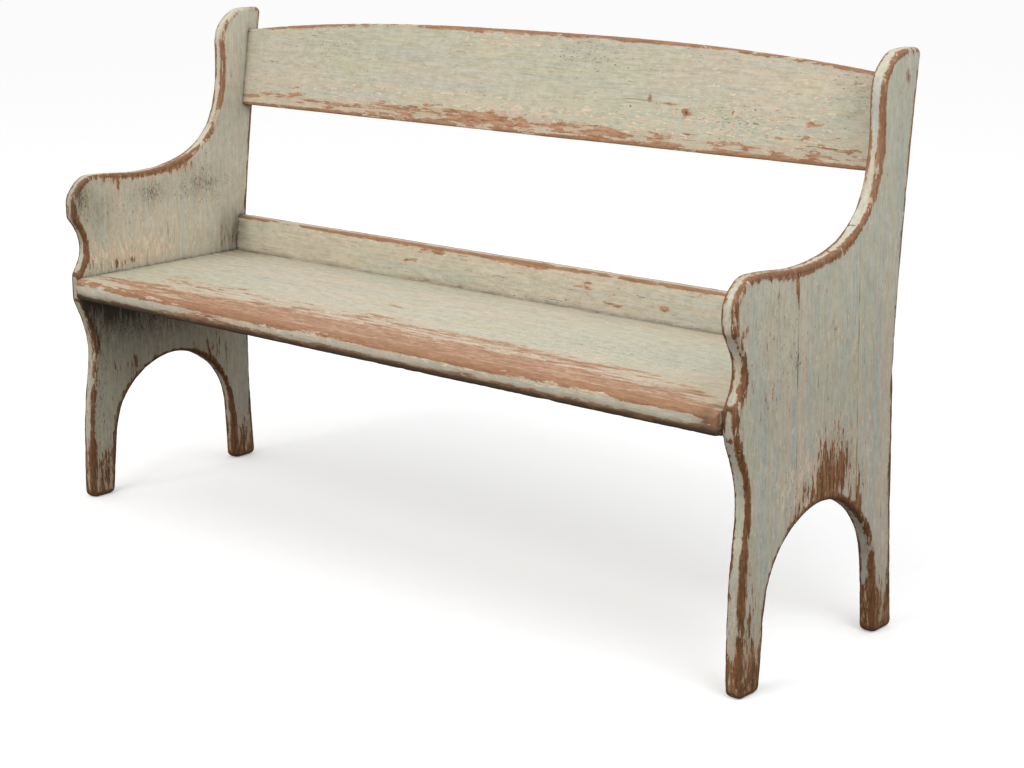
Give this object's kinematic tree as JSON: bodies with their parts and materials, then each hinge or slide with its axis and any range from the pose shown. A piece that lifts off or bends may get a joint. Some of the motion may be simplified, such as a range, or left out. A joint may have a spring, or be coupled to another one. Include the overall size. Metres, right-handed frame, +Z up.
{
  "type": "church pew",
  "caption": "Painted pine pew with shaped ends, an arched foot cut-out, a board seat, a low back rail and a leaning bowed backrest.",
  "frame": {"origin": "on the floor, under the middle of the pew's bounding box", "axes": "+X along the pew to the left hand of a person sitting on it, +Y from the front of the seat to the backrest, +Z up"},
  "size_m": [1.5494, 0.4826, 0.9144],
  "materials": {
    "painted_wood": "worn matt sage-green paint over a cream undercoat, rubbed through to brown pine",
    "bare_wood": "unfinished beech",
    "steel_screws": "plain steel"
  },
  "bodies": {
    "root": {"backrest_board": "painted_wood", "backrest_dowels": "bare_wood", "cleat_to_end_screws": "steel_screws", "cleat_to_seat_screws": "steel_screws", "left_end_front_board": "painted_wood", "left_end_middle_board": "painted_wood", "left_end_rear_board": "painted_wood", "left_seat_cleat": "painted_wood", "lower_back_rail": "painted_wood", "rail_dowels": "bare_wood", "rail_screw_plugs": "painted_wood", "rail_to_seat_screws": "steel_screws", "right_end_front_board": "painted_wood", "right_end_middle_board": "painted_wood", "right_end_rear_board": "painted_wood", "right_seat_cleat": "painted_wood", "seat_front_board": "painted_wood", "seat_middle_board": "painted_wood", "seat_rear_board": "painted_wood"}
  },
  "joints": []
}
